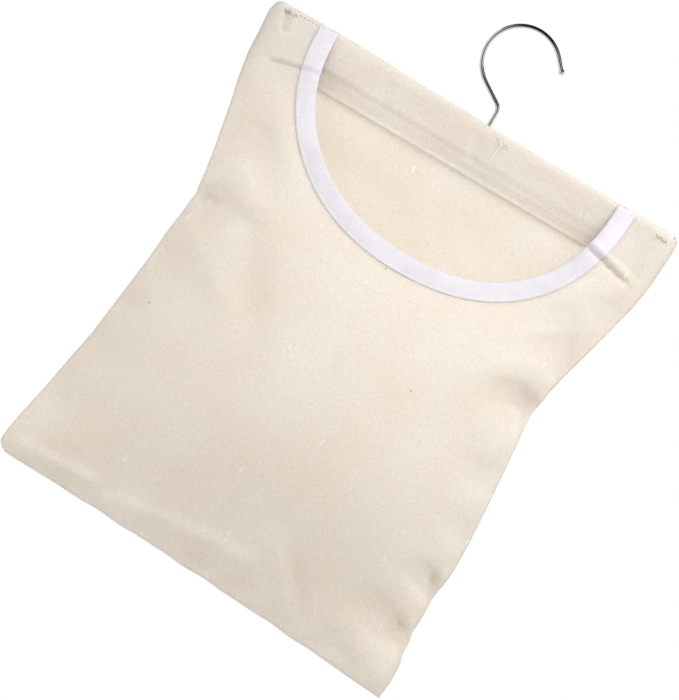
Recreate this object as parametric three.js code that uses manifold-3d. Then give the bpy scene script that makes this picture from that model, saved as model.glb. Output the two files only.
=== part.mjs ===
// Peg bag: a calico pouch with a bound scoop mouth, sewn round a wooden bar that turns on a wire hook.
// Millimetres, +Z up, +X to the right, -Y towards the viewer. The origin is where the hook bears on the line.
import * as THREE from "three";
import { mergeVertices } from "three/addons/utils/BufferGeometryUtils.js";
import Module from "manifold-3d";

// Cloth, tape and thread
const CLOTH = 0.8; // one layer of calico
const TAPE = 0.6; // one layer of binding tape
const THREAD = 0.6; // sewing thread, diameter
const GAP = 0.3; // clearance between pieces that touch

// Hanger bar
const BAR_LENGTH = 308;
const BAR_HEIGHT = 24;
const BAR_THICKNESS = 12;
const BAR_EDGE = 2.5; // rounding of its edges
const HOOK_OFFSET = 8.3; // hook stem, to the right of the bar's middle

// Wire hook
const WIRE = 3.2; // diameter
const NECK_RISE = 15.3; // from the bag's top edge to the corner of the neck
const NECK_RADIUS = 7;
const NECK_SLANT = 33; // degrees above the horizontal
const NECK_LENGTH = 21; // from the corner to the start of the loop
const LOOP_RADIUS = 27.8; // to the middle of the wire
const TIP_ANGLE = 41; // where the loop straightens, degrees above the horizontal
const TIP_LENGTH = 10.5;
const BALL = 4.6; // diameter of the rounded tip
const STEM_CLEARANCE = 0.3; // round the stem, in the bar, the washer and the cloth
const HEAD_DIAMETER = 6; // peened end of the stem
const HEAD_HEIGHT = 2.2;
const WASHER_DIAMETER = 8;
const WASHER_THICKNESS = 1;
const COUNTERBORE_DEPTH = 7; // in the bar's underside
const COUNTERBORE_CLEARANCE = 0.4; // round the washer

// Sleeve along the top, folded from the back panel
const SLEEVE_END = 12.5; // cloth past each end of the bar
const HEM_DROP = 39; // from the top edge to the hem
const HEM_LAP = 3; // stitched height of the hem
const CORNER = 4; // rounding of the top corners

// Pouch, as it hangs
const WAIST_WIDTH = 288;
const WAIST_DROP = 155;
const WAIST_SHIFT = -4; // the waist's middle, to the right of the bar's
const BOTTOM_WIDTH = 326;
const BOTTOM_SHIFT = -14; // the same at the bottom
const LEFT_DROP = 372;
const RIGHT_DROP = 391;
const FRONT_DEPTH = 58; // how far the front swells
const BACK_DEPTH = 45;
const BELLY_DROP = 245; // where the pouch is deepest
const SIDE_FULLNESS = 2.4; // of the swell from side to side; 2 would be a parabola
const UNDERSIDE_EASE = 1.3; // how softly the swell runs out at the bottom; 1 would meet the seam at an angle
const SHOULDER_EASE = 40; // height over which the panels leave the sleeve

// Scoop mouth, measured to the cut edge
const SCOOP_WIDTH = 236;
const SCOOP_DROP = 110;
const SCOOP_FULLNESS = 2.3; // 2 would be an ellipse
const TAPE_WIDTH = 14; // folded
const TAPE_CLEARANCE = 0.45; // between each leaf and the panel
const TAPE_STITCH_INSET = 2; // stitches, from the tape's sewn edge

// Stitching
const HEM_STITCH_RISE = 1.6; // stitches, above the hem
const SHOULDER_STITCH_DROP = 36;
const SHOULDER_STITCH_INSET = 4; // its ends, from the tape and from the side
const TACK_LENGTH = 10;
const TACK_WIDTH = 2.4;
const TACK_DROP = 5; // middle of the tack, below the top edge
const TACK_INSET = 13; // middle of the tack, from the side

// Facets
const COLUMNS = 26; // across a panel, over the bar's length
const SLEEVE_ROWS = 3;
const UPPER_ROWS = 15;
const LOWER_ROWS = 11;
const TAPE_STEPS = 54;
const WIRE_STEPS = 76;
const WIRE_SIDES = 10;
const THREAD_SIDES = 6;
const TURNED_SIDES = 28;

// Worked out from the sizes above
const { clamp, degToRad, lerp, mapLinear, smoothstep } = THREE.MathUtils;
const BAR_TOP = -(CLOTH + GAP);
const BAR_BOTTOM = BAR_TOP - BAR_HEIGHT;
const BAR_END = BAR_LENGTH / 2 + GAP; // where the sleeve leaves the bar's end
const TOP_HALF = BAR_LENGTH / 2 + SLEEVE_END; // half the bag's width along its top edge
const MEAN_DROP = (LEFT_DROP + RIGHT_DROP) / 2;
const SLEEVE_HALF = BAR_THICKNESS / 2 + GAP; // half the sleeve's thickness inside
const COUNTERBORE_TOP = BAR_BOTTOM + COUNTERBORE_DEPTH;
const STEM_HOLE = WIRE + 2 * STEM_CLEARANCE;
const LEAF_IN = CLOTH / 2 + TAPE_CLEARANCE; // faces of a tape leaf, from the middle of the panel
const LEAF_OUT = LEAF_IN + TAPE;
const FOLD = GAP + TAPE; // how far the tape reaches past the cut edge
const LEAF = TAPE_WIDTH - FOLD; // and how far it covers the panel

const wasm = await Module();
wasm.setup();

const calico = new THREE.MeshStandardMaterial({ color: 0xe9dcc8, roughness: 0.95, metalness: 0 });
const whiteTape = new THREE.MeshStandardMaterial({ color: 0xefebf4, roughness: 0.9, metalness: 0 });
const cotton = new THREE.MeshStandardMaterial({ color: 0xf3ecdf, roughness: 0.9, metalness: 0 });
const beech = new THREE.MeshStandardMaterial({ color: 0xc9a274, roughness: 0.6, metalness: 0 });
const chrome = new THREE.MeshStandardMaterial({ color: 0xc8cacc, roughness: 0.12, metalness: 1 });
const zinc = new THREE.MeshStandardMaterial({ color: 0xa8abae, roughness: 0.4, metalness: 1 });

// Solids, booleans and meshes

function solidOf(geometry) {
  const bare = geometry.clone();
  bare.deleteAttribute("normal");
  bare.deleteAttribute("uv");
  const merged = mergeVertices(bare, 1e-4);
  const mesh = new wasm.Mesh({
    numProp: 3,
    vertProperties: merged.attributes.position.array,
    triVerts: new Uint32Array(merged.index.array),
  });
  return new wasm.Manifold(mesh);
}

function geometryOf(solid) {
  const { vertProperties, triVerts } = solid.getMesh();
  const geometry = new THREE.BufferGeometry();
  geometry.setAttribute("position", new THREE.BufferAttribute(vertProperties, 3));
  geometry.setIndex(new THREE.BufferAttribute(triVerts, 1));
  geometry.computeVertexNormals();
  return geometry;
}

function piece(name, geometry, material) {
  const mesh = new THREE.Mesh(geometry, material);
  mesh.name = name;
  return mesh;
}

// A closed geometry with its faces turned outwards.
function closed(points, faces) {
  const volume = faces.reduce((sum, [a, b, c]) => {
    return sum + points[a].dot(points[b].clone().cross(points[c]));
  }, 0);
  const index = faces.flatMap(([a, b, c]) => (volume < 0 ? [a, c, b] : [a, b, c]));
  const geometry = new THREE.BufferGeometry().setFromPoints(points);
  geometry.setIndex(index);
  geometry.computeVertexNormals();
  return geometry;
}

// A section, a loop of 2-D points, carried through stations: place(point, station) gives each 3-D point.
function sweep(section, stations, place) {
  const points = stations.flatMap((station) => section.map((point) => place(point, station)));
  const count = section.length;
  const last = count * (stations.length - 1);
  const faces = [];
  for (let ring = 0; ring < last; ring += count) {
    section.forEach((_, i) => {
      const a = ring + i;
      const b = ring + ((i + 1) % count);
      faces.push([a, b, b + count], [a, b + count, a + count]);
    });
  }
  for (const [a, b, c] of THREE.ShapeUtils.triangulateShape(section, [])) {
    faces.push([c, b, a], [a + last, b + last, c + last]);
  }
  return closed(points, faces);
}

// A sheet between two grids of points, rows of equal length, closed round its edges.
function sheet(near, far) {
  const columns = near[0].length;
  const bottom = (near.length - 1) * columns;
  const back = near.length * columns;
  const faces = [];
  const quad = (a, b, c, d) => faces.push([a, b, c], [a, c, d]);
  for (let row = 0; row < bottom; row += columns) {
    for (let a = row; a + 1 < row + columns; a++) {
      const d = a + columns;
      quad(a, a + 1, d + 1, d);
      quad(back + a, back + d, back + d + 1, back + a + 1);
    }
    const right = row + columns - 1;
    quad(row, row + columns, back + row + columns, back + row);
    quad(right + columns, right, back + right, back + right + columns);
  }
  for (let a = 0; a + 1 < columns; a++) {
    quad(a + 1, a, back + a, back + a + 1);
    quad(bottom + a, bottom + a + 1, back + bottom + a + 1, back + bottom + a);
  }
  return closed([...near.flat(), ...far.flat()], faces);
}

function steps(from, to, count) {
  return Array.from({ length: count + 1 }, (_, i) => lerp(from, to, i / count));
}

function drill(diameter, bottom, top, x) {
  const tool = new THREE.CylinderGeometry(diameter / 2, diameter / 2, top - bottom, TURNED_SIDES);
  return solidOf(tool.rotateX(Math.PI / 2).translate(x, 0, (top + bottom) / 2));
}

// Pouch outline: how wide it is and where its middle lies, by the drop below the top edge

function alongSide(drop, top, waist, bottom) {
  if (drop < HEM_DROP) return top;
  if (drop < WAIST_DROP) return mapLinear(drop, HEM_DROP, WAIST_DROP, top, waist);
  return mapLinear(drop, WAIST_DROP, MEAN_DROP, waist, bottom);
}

const halfWidth = (drop) => alongSide(drop, TOP_HALF, WAIST_WIDTH / 2, BOTTOM_WIDTH / 2);
const middle = (drop) => alongSide(drop, 0, WAIST_SHIFT, BOTTOM_SHIFT);
const fullDrop = (across) => lerp(LEFT_DROP, RIGHT_DROP, (1 + across) / 2);

// across runs from -1 at the left side to 1 at the right.
// down runs from -1 at the top edge to 0 at the hem, and on to 1 at the bottom.
function outlinePoint(across, down) {
  const drop = HEM_DROP + down * (down < 0 ? HEM_DROP : fullDrop(across) - HEM_DROP);
  return new THREE.Vector2(middle(drop) + across * halfWidth(drop), -drop);
}

// Swelling of the panels

// The sleeve is full over the bar and closes to nothing at its two ends.
const sleeveFullness = (x) => clamp((TOP_HALF - Math.abs(x)) / (TOP_HALF - BAR_END), 0, 1);

function belly(x, z) {
  const across = (x - middle(-z)) / halfWidth(-z);
  const down = -z / fullDrop(across);
  const deepest = BELLY_DROP / MEAN_DROP;
  const rise = Math.sin((Math.PI / 2) * Math.min(down / deepest, 1));
  const below = clamp((down - deepest) / (1 - deepest), 0, 1);
  const fall = Math.cos((Math.PI / 2) * below) ** UNDERSIDE_EASE;
  return (1 - Math.abs(across) ** SIDE_FULLNESS) * rise * fall;
}

const leavesSleeve = (z) => smoothstep(-z, HEM_DROP, HEM_DROP + SHOULDER_EASE);

// Inner face of the front panel, in front of the seam's plane.
function frontSwell(x, z) {
  const overSleeve = CLOTH + (SLEEVE_HALF + TAPE_CLEARANCE + TAPE) * sleeveFullness(x);
  return GAP + lerp(overSleeve, FRONT_DEPTH * belly(x, z), leavesSleeve(z));
}

// Inner face of the back panel, behind the seam's plane.
function backSwell(x, z) {
  return BACK_DEPTH * belly(x, z) * leavesSleeve(z);
}

const frontFace = (x, z) => -(frontSwell(x, z) + CLOTH);
const frontMiddle = (x, z) => -(frontSwell(x, z) + CLOTH / 2);

const overBar = BAR_END / TOP_HALF;
const acrossPanel = [-1, ...steps(-overBar, overBar, COLUMNS), 1];
const downWaist = (WAIST_DROP - HEM_DROP) / (MEAN_DROP - HEM_DROP);
const downPouch = [...steps(0, downWaist, UPPER_ROWS), ...steps(downWaist, 1, LOWER_ROWS).slice(1)];

function panelGrid(downs, depth) {
  return downs.map((down) =>
    acrossPanel.map((across) => {
      const { x, y: z } = outlinePoint(across, down);
      return new THREE.Vector3(x, depth(x, z), z);
    }),
  );
}

// Keeps what lies inside the bag's rounded top corners.
function roundTopCorners(solid) {
  const reach = 2 * TOP_HALF;
  const outline = new THREE.Shape()
    .moveTo(-reach, -reach - MEAN_DROP)
    .lineTo(reach, -reach - MEAN_DROP)
    .lineTo(reach, -CORNER)
    .lineTo(TOP_HALF, -CORNER)
    .absarc(TOP_HALF - CORNER, -CORNER, CORNER, 0, Math.PI / 2)
    .absarc(CORNER - TOP_HALF, -CORNER, CORNER, Math.PI / 2, Math.PI)
    .lineTo(-reach, -CORNER);
  const tool = new THREE.ExtrudeGeometry(outline, { depth: 2 * reach, bevelEnabled: false, curveSegments: 4 });
  return solid.intersect(solidOf(tool.rotateX(Math.PI / 2).translate(0, reach, 0)));
}

// Back panel with the sleeve that its top edge is folded and hemmed into

function sleeveSection(half, top, corner, foot, footHalf) {
  return new THREE.Shape()
    .moveTo(footHalf, foot)
    .lineTo(half, BAR_BOTTOM)
    .absarc(half - corner, top - corner, corner, 0, Math.PI / 2)
    .absarc(corner - half, top - corner, corner, Math.PI / 2, Math.PI)
    .lineTo(-half, BAR_BOTTOM)
    .lineTo(-footHalf, foot)
    .getPoints(4);
}

function backPanel() {
  const outerCorner = BAR_EDGE + GAP + CLOTH;
  const outer = sleeveSection(SLEEVE_HALF + CLOTH, 0, outerCorner, -HEM_DROP, CLOTH);
  const inner = sleeveSection(SLEEVE_HALF, -CLOTH, BAR_EDGE + GAP, HEM_LAP - HEM_DROP, CLOTH / 4);
  const aroundBar = ({ x: y, y: z }, x) => {
    const kept = clamp(y, -CLOTH, CLOTH);
    return new THREE.Vector3(x, kept + (y - kept) * sleeveFullness(x), z);
  };
  const insideSleeve = ({ x: y, y: z }, x) => new THREE.Vector3(x, y * sleeveFullness(x), z);
  const pocketEnd = TOP_HALF - HEM_LAP;
  const sleeve = solidOf(sweep(outer, [-TOP_HALF, -BAR_END, BAR_END, TOP_HALF], aroundBar));
  const pocket = solidOf(sweep(inner, [-pocketEnd, -BAR_END, BAR_END, pocketEnd], insideSleeve));

  const downs = [-HEM_LAP / 2 / HEM_DROP, ...downPouch];
  const inside = panelGrid(downs, backSwell);
  const outside = panelGrid(downs, (x, z) => backSwell(x, z) + CLOTH);
  const panel = solidOf(sheet(inside, outside));

  const stemHole = drill(STEM_HOLE, BAR_TOP - BAR_EDGE, CLOTH, HOOK_OFFSET);
  return geometryOf(roundTopCorners(sleeve.subtract(pocket).subtract(stemHole).add(panel)));
}

// Front panel and its scoop mouth

class ScoopEdge extends THREE.Curve {
  getPoint(t, target = new THREE.Vector2()) {
    const angle = Math.PI * t;
    const power = 2 / SCOOP_FULLNESS;
    const out = Math.sign(Math.cos(angle)) * Math.abs(Math.cos(angle)) ** power;
    const drop = SCOOP_DROP * Math.abs(Math.sin(angle)) ** power;
    return target.set(middle(drop) - (SCOOP_WIDTH / 2) * out, -drop);
  }
}

const scoopEdge = new ScoopEdge();

function frontPanel() {
  const downs = [...steps(-1, 0, SLEEVE_ROWS).slice(0, -1), ...downPouch];
  const inside = panelGrid(downs, (x, z) => -frontSwell(x, z));
  const outside = panelGrid(downs, frontFace);
  const panel = roundTopCorners(solidOf(sheet(inside, outside)));

  const mouth = new THREE.Shape(scoopEdge.getSpacedPoints(TAPE_STEPS))
    .lineTo(SCOOP_WIDTH / 2, CORNER)
    .lineTo(-SCOOP_WIDTH / 2, CORNER);
  const tool = new THREE.ExtrudeGeometry(mouth, { depth: 2 * FRONT_DEPTH + BAR_THICKNESS, bevelEnabled: false });
  return geometryOf(panel.subtract(solidOf(tool.rotateX(Math.PI / 2))));
}

// A point on the scoop's edge moved over the panel, away from the mouth, and off the panel's middle.
function onScoop({ x: away, y: off }, t) {
  const edge = scoopEdge.getPointAt(t);
  const along = scoopEdge.getTangentAt(t);
  const x = edge.x + away * along.y;
  const z = edge.y - away * along.x;
  return new THREE.Vector3(x, frontMiddle(x, z) + off, z);
}

const alongScoop = steps(0, 1, TAPE_STEPS);

function scoopBinding() {
  const round = FOLD / 2;
  const section = [
    [LEAF, -LEAF_OUT],
    [LEAF, -LEAF_IN],
    [LEAF / 2, -LEAF_IN],
    [-GAP, -LEAF_IN],
    [-GAP, LEAF_IN],
    [LEAF / 2, LEAF_IN],
    [LEAF, LEAF_IN],
    [LEAF, LEAF_OUT],
    [LEAF / 2, LEAF_OUT],
    [round - FOLD, LEAF_OUT],
    [-FOLD, LEAF_OUT - round],
    [-FOLD, round - LEAF_OUT],
    [round - FOLD, -LEAF_OUT],
    [LEAF / 2, -LEAF_OUT],
  ].map(([away, off]) => new THREE.Vector2(away, off));
  return sweep(section, alongScoop, onScoop);
}

// Stitching

function threadSection(width, height) {
  return steps(0, 2 * Math.PI, THREAD_SIDES)
    .slice(1)
    .map((angle) => new THREE.Vector2((width / 2) * Math.cos(angle), (height / 2) * Math.sin(angle)));
}

function hemStitching() {
  const z = HEM_STITCH_RISE - HEM_DROP;
  const wall = mapLinear(z, -HEM_DROP, BAR_BOTTOM, CLOTH, SLEEVE_HALF + CLOTH);
  const section = threadSection(THREAD, THREAD);
  const y = -(wall + GAP + THREAD / 2);
  return sweep(section, [-BAR_END, BAR_END], (p, x) => new THREE.Vector3(x, y + p.x, z + p.y));
}

function bindingStitching() {
  const line = LEAF - TAPE_STITCH_INSET;
  const lift = LEAF_OUT + GAP + THREAD / 2;
  const section = threadSection(THREAD, THREAD).map((p) => p.add(new THREE.Vector2(line, -lift)));
  return sweep(section, alongScoop, onScoop);
}

// A row of thread across the front panel between two places, bending with the panel at the bar's end.
function rowOnFront(side, inner, outer, drop, height) {
  const places = [inner, BAR_END, outer].filter((x) => x >= inner && x <= outer);
  const section = threadSection(THREAD, height);
  return sweep(section, places.map((x) => side * x), (p, x) => {
    const y = frontFace(x, -drop) - GAP - THREAD / 2;
    return new THREE.Vector3(x, y + p.x, p.y - drop);
  });
}

function shoulderStitching(side) {
  const inner = SCOOP_WIDTH / 2 + LEAF + SHOULDER_STITCH_INSET;
  return rowOnFront(side, inner, TOP_HALF - SHOULDER_STITCH_INSET, SHOULDER_STITCH_DROP, THREAD);
}

function cornerTack(side) {
  const centre = TOP_HALF - TACK_INSET;
  return rowOnFront(side, centre - TACK_LENGTH / 2, centre + TACK_LENGTH / 2, TACK_DROP, TACK_WIDTH);
}

// Hanger bar, wire hook and washer

function hangerBar() {
  const ease = BAR_EDGE / 2; // half of the rounding is in the outline, and half in the bevel round it
  const side = BAR_THICKNESS / 2 - BAR_EDGE;
  const bottom = BAR_BOTTOM + BAR_EDGE;
  const top = BAR_TOP - BAR_EDGE;
  const outline = new THREE.Shape()
    .absarc(side, bottom, ease, -Math.PI / 2, 0)
    .absarc(side, top, ease, 0, Math.PI / 2)
    .absarc(-side, top, ease, Math.PI / 2, Math.PI)
    .absarc(-side, bottom, ease, Math.PI, 1.5 * Math.PI);
  const bar = new THREE.ExtrudeGeometry(outline, {
    depth: BAR_LENGTH - 2 * ease,
    bevelThickness: ease,
    bevelSize: ease,
    bevelSegments: 2,
    curveSegments: 2,
  });
  bar.translate(0, 0, ease - BAR_LENGTH / 2).rotateX(Math.PI / 2).rotateZ(Math.PI / 2);
  const stemHole = drill(STEM_HOLE, BAR_BOTTOM - GAP, BAR_TOP + GAP, HOOK_OFFSET);
  const counterbore = drill(
    WASHER_DIAMETER + 2 * COUNTERBORE_CLEARANCE,
    BAR_BOTTOM - GAP,
    COUNTERBORE_TOP,
    HOOK_OFFSET,
  );
  return geometryOf(solidOf(bar).subtract(stemHole).subtract(counterbore));
}

const washerTop = COUNTERBORE_TOP - GAP;
const headTop = washerTop - WASHER_THICKNESS - GAP;
const slant = degToRad(NECK_SLANT);
const loopStart = 1.5 * Math.PI - slant;
const loopEnd = degToRad(TIP_ANGLE);
const loopMiddle = new THREE.Vector2(
  -NECK_LENGTH * Math.cos(slant) - LOOP_RADIUS * Math.cos(loopStart),
  NECK_RISE + NECK_LENGTH * Math.sin(slant) - LOOP_RADIUS * Math.sin(loopStart),
);

// A flat path stood up in the plane of the bag.
class Upright extends THREE.Curve {
  constructor(path) {
    super();
    this.path = path;
  }

  getPoint(t, target = new THREE.Vector3()) {
    const { x, y } = this.path.getPoint(t);
    return target.set(x, 0, y);
  }
}

function hook() {
  const turn = Math.PI / 2 - slant;
  const bendStart = NECK_RISE - NECK_RADIUS * Math.tan(turn / 2);
  const tip = new THREE.Vector2(
    loopMiddle.x + LOOP_RADIUS * Math.cos(loopEnd) + TIP_LENGTH * Math.sin(loopEnd),
    loopMiddle.y + LOOP_RADIUS * Math.sin(loopEnd) - TIP_LENGTH * Math.cos(loopEnd),
  );
  const path = new THREE.Path()
    .moveTo(0, headTop - HEAD_HEIGHT / 2)
    .lineTo(0, bendStart)
    .absarc(-NECK_RADIUS, bendStart, NECK_RADIUS, 0, turn)
    .absarc(loopMiddle.x, loopMiddle.y, LOOP_RADIUS, loopStart, loopEnd, true)
    .lineTo(tip.x, tip.y);
  const round = new THREE.Shape().absarc(0, 0, WIRE / 2, 0, 2 * Math.PI);
  const wire = new THREE.ExtrudeGeometry(round, {
    extrudePath: new Upright(path),
    steps: WIRE_STEPS,
    curveSegments: WIRE_SIDES / 2,
  });
  const head = drill(HEAD_DIAMETER, headTop - HEAD_HEIGHT, headTop, 0);
  const ball = new THREE.SphereGeometry(BALL / 2, 12, 8).translate(tip.x, 0, tip.y);
  return geometryOf(solidOf(wire).add(head).add(solidOf(ball)));
}

function hookWasher() {
  const outline = new THREE.Shape().absarc(0, 0, WASHER_DIAMETER / 2, 0, 2 * Math.PI);
  outline.holes.push(new THREE.Path().absarc(0, 0, STEM_HOLE / 2, 0, 2 * Math.PI, true));
  const washer = new THREE.ExtrudeGeometry(outline, {
    depth: WASHER_THICKNESS,
    bevelEnabled: false,
    curveSegments: TURNED_SIDES / 2,
  });
  return washer.translate(0, 0, washerTop - WASHER_THICKNESS);
}

// Assembly

const hanger = new THREE.Group();
hanger.position.x = HOOK_OFFSET;
hanger.add(piece("hook", hook(), chrome), piece("hook_washer", hookWasher(), zinc));

const pegBag = new THREE.Group();
pegBag.position.set(-(HOOK_OFFSET + loopMiddle.x), 0, -(loopMiddle.y + LOOP_RADIUS - WIRE / 2));
pegBag.add(
  hanger,
  piece("hanger_bar", hangerBar(), beech),
  piece("back_panel", backPanel(), calico),
  piece("front_panel", frontPanel(), calico),
  piece("scoop_binding", scoopBinding(), whiteTape),
  piece("hem_stitching", hemStitching(), cotton),
  piece("binding_stitching", bindingStitching(), cotton),
  piece("left_shoulder_stitching", shoulderStitching(-1), cotton),
  piece("right_shoulder_stitching", shoulderStitching(1), cotton),
  piece("left_corner_tack", cornerTack(-1), cotton),
  piece("right_corner_tack", cornerTack(1), cotton),
);

export default new THREE.Group().add(pegBag);
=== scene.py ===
"""Peg bag, dressed: simulated calico panels, bound mouth, stitching, chromed hook, studio and camera.

Shapes are worked out in millimetres in the bag's own frame: x = 0 at the bar's middle, z = 0 at the top
edge, and y < 0 in front. place() puts them into the part's frame, in metres.
"""
import math

import bpy
import numpy as np
from mathutils import Matrix, Vector


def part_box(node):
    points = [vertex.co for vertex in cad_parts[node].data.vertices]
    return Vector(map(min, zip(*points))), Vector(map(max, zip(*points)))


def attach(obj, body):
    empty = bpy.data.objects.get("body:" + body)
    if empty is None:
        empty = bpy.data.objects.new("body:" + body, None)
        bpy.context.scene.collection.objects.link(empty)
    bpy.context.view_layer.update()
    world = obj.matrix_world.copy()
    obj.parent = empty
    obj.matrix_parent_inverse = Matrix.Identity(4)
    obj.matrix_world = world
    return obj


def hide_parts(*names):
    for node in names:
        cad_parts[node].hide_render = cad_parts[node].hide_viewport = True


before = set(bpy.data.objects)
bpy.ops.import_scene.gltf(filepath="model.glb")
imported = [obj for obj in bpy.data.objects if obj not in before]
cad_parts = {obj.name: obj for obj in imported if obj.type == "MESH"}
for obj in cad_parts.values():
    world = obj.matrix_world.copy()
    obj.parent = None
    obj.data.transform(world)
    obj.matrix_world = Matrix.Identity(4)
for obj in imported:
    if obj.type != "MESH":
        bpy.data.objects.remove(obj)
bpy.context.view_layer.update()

# Sizes that the construction also has, in millimetres
CLOTH = 0.8
TAPE = 0.6
GAP = 0.3
BAR_TOP_CLEARANCE = 1.1
BAR_DROP = 25.1
BAR_END = 154.3
SLEEVE_HALF = 6.3
TOP_HALF = 166.5
HEM_DROP = 39.0
LEFT_DROP = 375.0
RIGHT_DROP = 391.0
WAIST_DROP = 155.0
FRONT_DEPTH = 58.0
BACK_DEPTH = 45.0
BELLY_DROP = 245.0
SIDE_FULLNESS = 2.4
UNDERSIDE_EASE = 1.3
SHOULDER_EASE = 40.0
SCOOP_HALF = 118.0
SCOOP_DROP = 110.0
SCOOP_FULLNESS = 2.25
SCOOP_LEFT_FULLNESS = 2.12
TAPE_FOLD = 0.9
TAPE_LEAF = 13.1
TAPE_CLEARANCE = 0.45
HOOK_OFFSET = 8.3

# The panels as they were cut, and the outline that their sewn edges take: (drop, x) down each side
CUT_WIDTH = 336.0
CUT_LENGTH = 394.0
BOLT_STEP = 600.0
BOTTOM_BOW = 2.2
LONG_WAVER = (0.12, 21)
SHORT_WAVER = (0.08, 34)
TOP_RISE = [(-166, 2.4), (-120, 3.3), (-100, 3.5), (-75, 2.7), (-45, 1.6), (0, 1.2), (25, 0.2), (60, 0.0)]
TOP_RISE_REACH = 20.0
LEFT_SIDE = [
    (0, -164), (2, -166.3), (5, -167.8), (9, -168.4), (25, -167), (40, -166.3), (60, -163), (80, -158.5),
    (120, -150.9), (130, -149.2), (141, -148.2), (148, -147.3), (152, -148.2), (163, -148.7), (181, -151),
    (210, -153.4), (270, -160.5), (310, -168), (350, -176), (362, -178), (369, -178), (373, -176),
    (375, -171),
]
RIGHT_SIDE = [
    (0, 164.5), (2, 166.2), (5, 167), (10, 167.2), (40, 165.6), (60, 162.5), (80, 157.7), (140, 142.2),
    (154, 140.4), (161, 139.2), (172, 139.6), (210, 143.5), (262, 147.4), (283, 147.9), (293, 147.4),
    (312, 144.9), (326, 145.2), (339, 144.8), (347, 146.8), (355, 146.6), (362, 148.6), (377, 149.3),
    (391, 148),
]

# The grid of a panel
COLUMNS = 96
ROLL_ROWS = 6
FACE_ROWS = 12
HEADER_ROWS = ROLL_ROWS + FACE_ROWS
BODY_ROWS = 86

# The top edge is rounded over the bar, from the top to ROLL below it
ROLL = 7.0
ROLL_FULLNESS = 4.0

bar_low, bar_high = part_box("hanger_bar")
ORIGIN = np.array([(bar_low[0] + bar_high[0]) / 2, 0, bar_high[2] + BAR_TOP_CLEARANCE / 1000])


def place(points):
    """Bag millimetres to the part's frame in metres."""
    return np.asarray(points, dtype=float) / 1000 + ORIGIN


def lerp(a, b, t):
    return a + (b - a) * t


def smooth(value, low, high):
    """0 below low, 1 above high, with an even S between."""
    t = np.clip((value - low) / (high - low), 0, 1)
    return t * t * (3 - 2 * t)


def raise_top(points):
    """The sleeve's top edge isn't level: at the left it stands above the bar."""
    points = np.array(points, dtype=float)
    x, rise = zip(*TOP_RISE)
    near_top = 1 - smooth(-points[..., 2], 0, TOP_RISE_REACH)
    points[..., 2] += np.interp(points[..., 0], x, rise) * near_top
    return points


def lump(x, drop, where, reach):
    """A soft patch round a place (x, drop), 1 in its middle."""
    return np.exp(-(((x - where[0]) / reach[0]) ** 2) - ((drop - where[1]) / reach[1]) ** 2)


# Outline and swell of the pouch

SHOULDER_STAND = 9.0
SHOULDER_STAND_REACH = 24.0
SHOULDER_STAND_BEGINS = (3, 36)
SHOULDER_STAND_ENDS = (45, 105)
EDGE_PUFF = 1.7
EDGE_PUFF_REACH = 4.0
EDGE_POWER = 40


def wave(value, size, pace):
    return size * np.sin(pace * value)


def side(points, drop):
    drops, across = zip(*points)
    return np.interp(drop, drops, across)


def full_drop(across):
    """Drop of the bottom seam, which is bowed a little and wavers."""
    waver = 1 + wave(across, *LONG_WAVER) + wave(across, *SHORT_WAVER)
    return lerp(LEFT_DROP, RIGHT_DROP, (1 + across) / 2) - BOTTOM_BOW * (1 - across**2) * waver


def across_at(x, drop):
    """Place between the side seams: -1 at the left, 1 at the right."""
    left = side(LEFT_SIDE, drop)
    right = side(RIGHT_SIDE, drop)
    return np.clip((2 * x - left - right) / (right - left), -1, 1)


def x_at(across, drop):
    """x of a place between the side seams."""
    return lerp(side(LEFT_SIDE, drop), side(RIGHT_SIDE, drop), (1 + across) / 2)


def grid():
    """across, drop and x of every grid point, rows from the top edge to the bottom seam."""
    columns = np.linspace(-1, 1, COLUMNS + 1)
    turn = np.linspace(0, np.pi / 2, ROLL_ROWS, endpoint=False)
    rolled = ROLL * (1 - np.cos(turn) ** (2 / ROLL_FULLNESS))
    header = np.concatenate([rolled, np.linspace(ROLL, HEM_DROP, FACE_ROWS, endpoint=False)])
    down = np.concatenate([header / HEM_DROP - 1, np.linspace(0, 1, BODY_ROWS + 1)])
    down, across = np.meshgrid(down, columns, indexing="ij")
    drop = HEM_DROP + np.where(down < 0, HEM_DROP, full_drop(across) - HEM_DROP) * down
    return across, drop, x_at(across, drop)


def belly(across, drop):
    """Share of the pouch's depth: none at its seams, all of it at BELLY_DROP in the middle."""
    down = drop / full_drop(across)
    deepest = BELLY_DROP / full_drop(0)
    rise = np.sin(np.pi / 2 * np.minimum(down / deepest, 1))
    fall = np.cos(np.pi / 2 * np.clip((down - deepest) / (1 - deepest), 0, 1)) ** UNDERSIDE_EASE
    return (1 - np.abs(across) ** SIDE_FULLNESS) * rise * fall


def edge_puff(across, drop):
    """The turned seam allowance rounds the edge."""
    to_bottom = np.clip((full_drop(across) - drop) / EDGE_PUFF_REACH, 0, 1)
    return EDGE_PUFF * (1 - np.abs(across) ** EDGE_POWER) * to_bottom


def sleeve_fullness(x):
    return np.clip((TOP_HALF - np.abs(x)) / (TOP_HALF - BAR_END), 0, 1)


def rolled_over(drop):
    """Share of the sleeve's half thickness that its rounded top has at a drop."""
    left = np.clip(1 - drop / ROLL, 0, 1)
    return (1 - left**ROLL_FULLNESS) ** (1 / ROLL_FULLNESS)


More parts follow.
